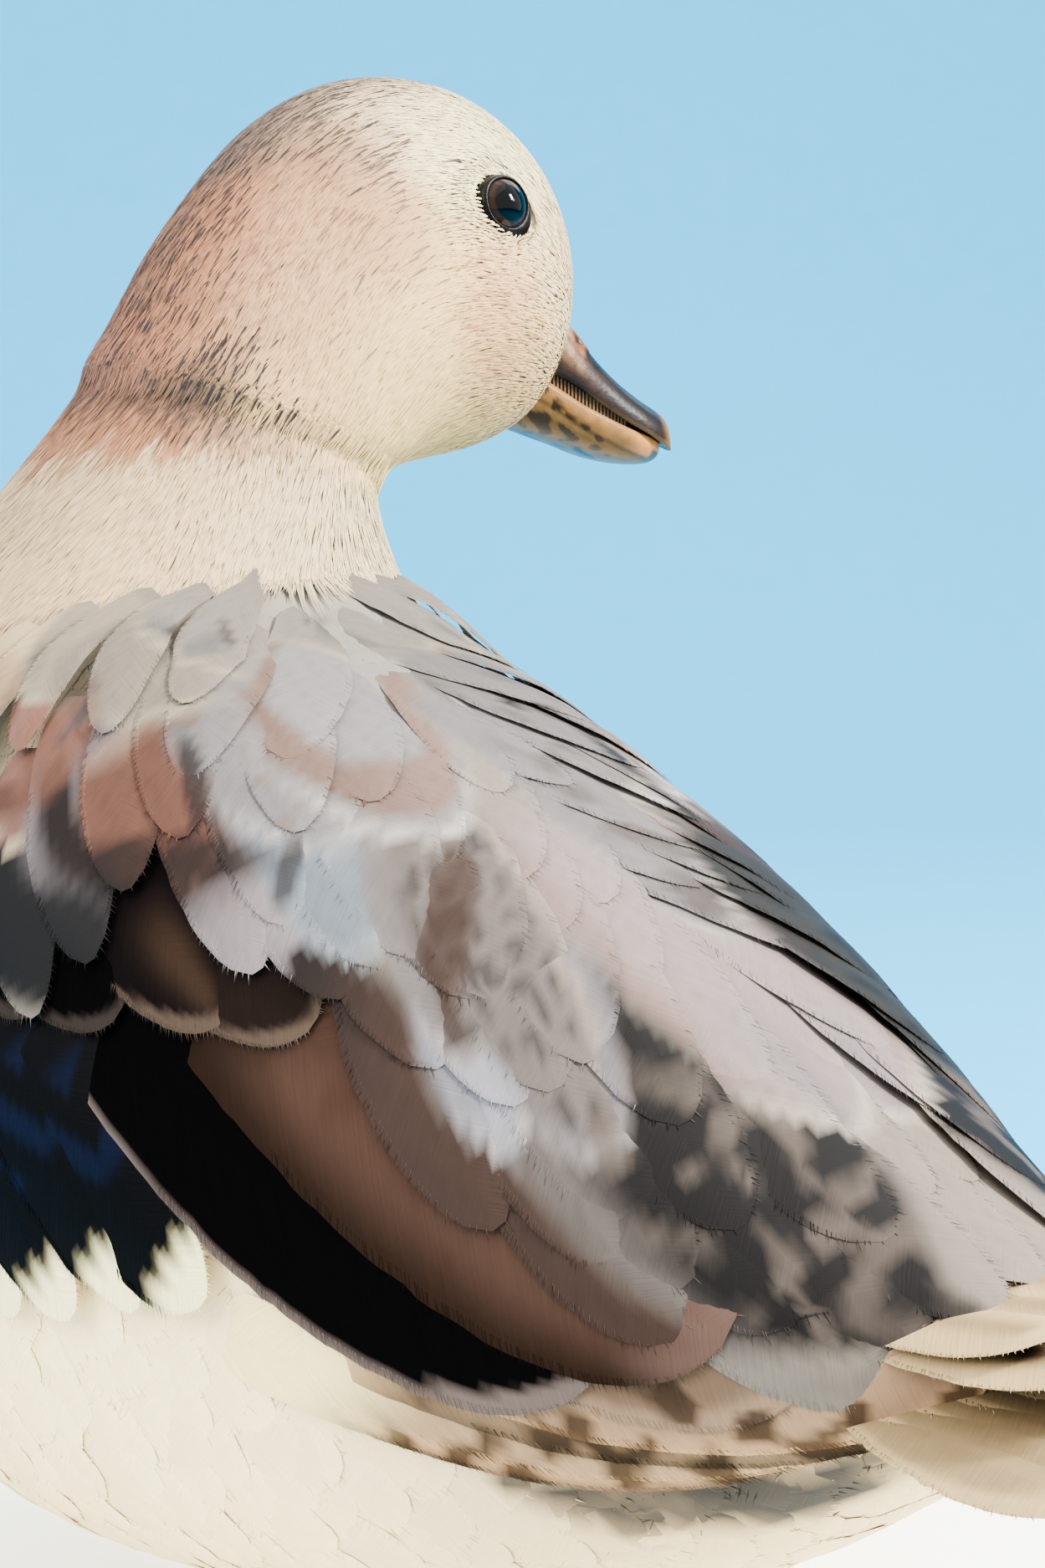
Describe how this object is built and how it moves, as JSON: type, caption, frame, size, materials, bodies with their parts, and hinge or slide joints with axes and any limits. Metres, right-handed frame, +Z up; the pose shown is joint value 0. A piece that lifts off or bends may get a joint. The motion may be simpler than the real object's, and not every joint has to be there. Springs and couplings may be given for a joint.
{
  "type": "bantam call duck",
  "caption": "Life-size standing bantam call duck hen with folded wings, webbed feet and short tail, her head turned back over her right shoulder.",
  "frame": {"origin": "on the floor, under the centre of the whole figure's box", "axes": "the body faces -Y with the tail towards +Y, her left side is +X, +Z is up; the head is turned to her right, towards -X"},
  "size_m": [0.1494, 0.2699, 0.2424],
  "materials": {
    "head_plumage": "fine cream feathering with dark dashes on crown and nape",
    "neck_plumage": "soft warm white feathering",
    "body_plumage": "creamy white feathering, spotted with brown at the rear",
    "wing_plumage": "grey, brown and black feathers with pale fringes and a blue-black panel",
    "tail_plumage": "tan and brown feathers with pale edges",
    "bill_horn": "satin dark slate horn with tan edges",
    "leg_skin": "orange scaled skin, darker on the webs",
    "claw_horn": "dark polished horn",
    "eye_glass": "wet dark brown"
  },
  "bodies": {
    "root": {"bill_lower": "bill_horn", "bill_upper": "bill_horn", "claw_left_hind": "claw_horn", "claw_left_inner": "claw_horn", "claw_left_middle": "claw_horn", "claw_left_outer": "claw_horn", "claw_right_hind": "claw_horn", "claw_right_inner": "claw_horn", "claw_right_middle": "claw_horn", "claw_right_outer": "claw_horn", "eye_left": "eye_glass", "eye_right": "eye_glass", "foot_left": "leg_skin", "foot_right": "leg_skin", "head": "head_plumage", "neck": "neck_plumage", "shank_left": "leg_skin", "shank_right": "leg_skin", "tail": "tail_plumage", "thigh_left": "body_plumage", "thigh_right": "body_plumage", "torso": "body_plumage", "wing_left": "wing_plumage", "wing_right": "wing_plumage"}
  },
  "joints": []
}
